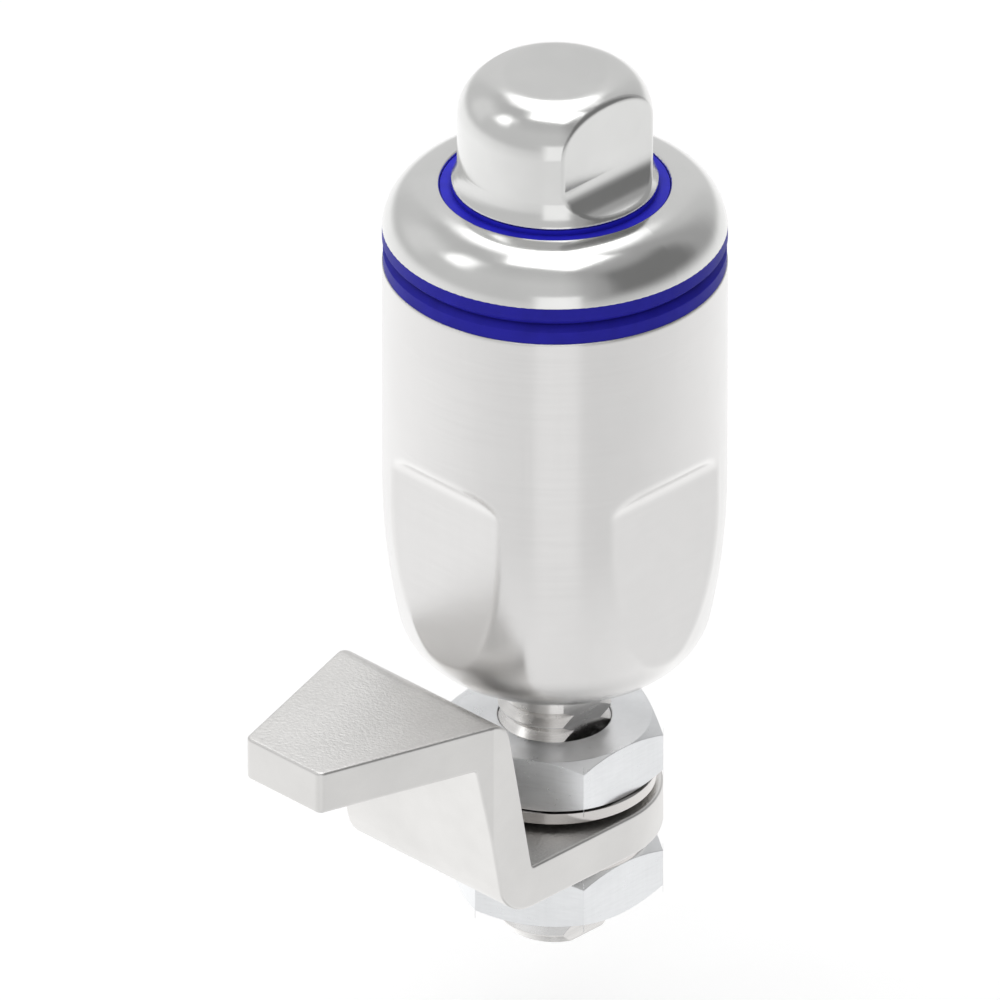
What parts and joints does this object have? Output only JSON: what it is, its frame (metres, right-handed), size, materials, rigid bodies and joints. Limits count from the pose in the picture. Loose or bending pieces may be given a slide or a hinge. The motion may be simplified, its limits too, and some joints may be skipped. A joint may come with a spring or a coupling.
{
  "type": "compression latch",
  "caption": "Round flush-mounted compression latch: a key-driven head turns a Z-bent tongue and then draws it in against the frame.",
  "frame": {"origin": "on the turning axis, in the plane between the flange seal and the cap seal where the panel is clamped", "axes": "+Z along the turning axis, out of the panel towards the head; the tongue points along -Y at rest; the head's wrench flats face +X and -X"},
  "size_m": [0.03, 0.0484, 0.0847],
  "materials": {
    "polished_steel": "mirror-polished stainless steel",
    "turned_steel": "fine-turned satin stainless steel",
    "nut_steel": "machined stainless steel with fine lines",
    "tongue_steel": "fine bead-blasted stainless steel",
    "rod_steel": "turned and threaded stainless steel",
    "washer_steel": "plain rolled stainless steel",
    "inner_steel": "plain machined stainless steel",
    "spring_steel": "bright drawn spring steel",
    "blue_rubber": "smooth matt moulded elastomer",
    "black_rubber": "smooth moulded elastomer",
    "bearing_plastic": "plain bearing polymer"
  },
  "bodies": {
    "housing": {"housing": "polished_steel", "shaft_seal": "blue_rubber", "flange_seal": "blue_rubber", "cap_seal": "blue_rubber", "cap_nut": "turned_steel", "guide_bush": "inner_steel", "stop_segment": "inner_steel", "thrust_washer": "bearing_plastic", "shim_washer": "washer_steel"},
    "turn_stop": {"stop_disc": "inner_steel"},
    "actuator": {"actuator": "polished_steel", "actuator_o_ring": "black_rubber", "retaining_ring": "spring_steel"},
    "spindle": {"spindle": "rod_steel", "cross_pin": "inner_steel", "return_spring": "spring_steel", "upper_nut": "nut_steel", "lock_washer": "washer_steel", "tongue": "tongue_steel", "lower_washer": "washer_steel", "lower_nut": "nut_steel"}
  },
  "joints": [
    {"name": "quarter_turn", "type": "hinge", "parent": "housing", "child": "turn_stop", "pos_m": [0, 0, 0], "axis": [0, 0, -1], "range_deg": [0, 90]},
    {"name": "draw_turn", "type": "hinge", "parent": "turn_stop", "child": "actuator", "pos_m": [0, 0, 0], "axis": [0, 0, -1], "range_deg": [0, 90]},
    {"name": "draw_in", "type": "slide", "parent": "turn_stop", "child": "spindle", "axis": [0, 0, 1], "range_m": [0, 0.006], "deforming": ["return_spring"]}
  ],
  "couplings": [
    {"joint": "draw_turn", "follows": "draw_in", "rad_per_m": 261.8}
  ]
}
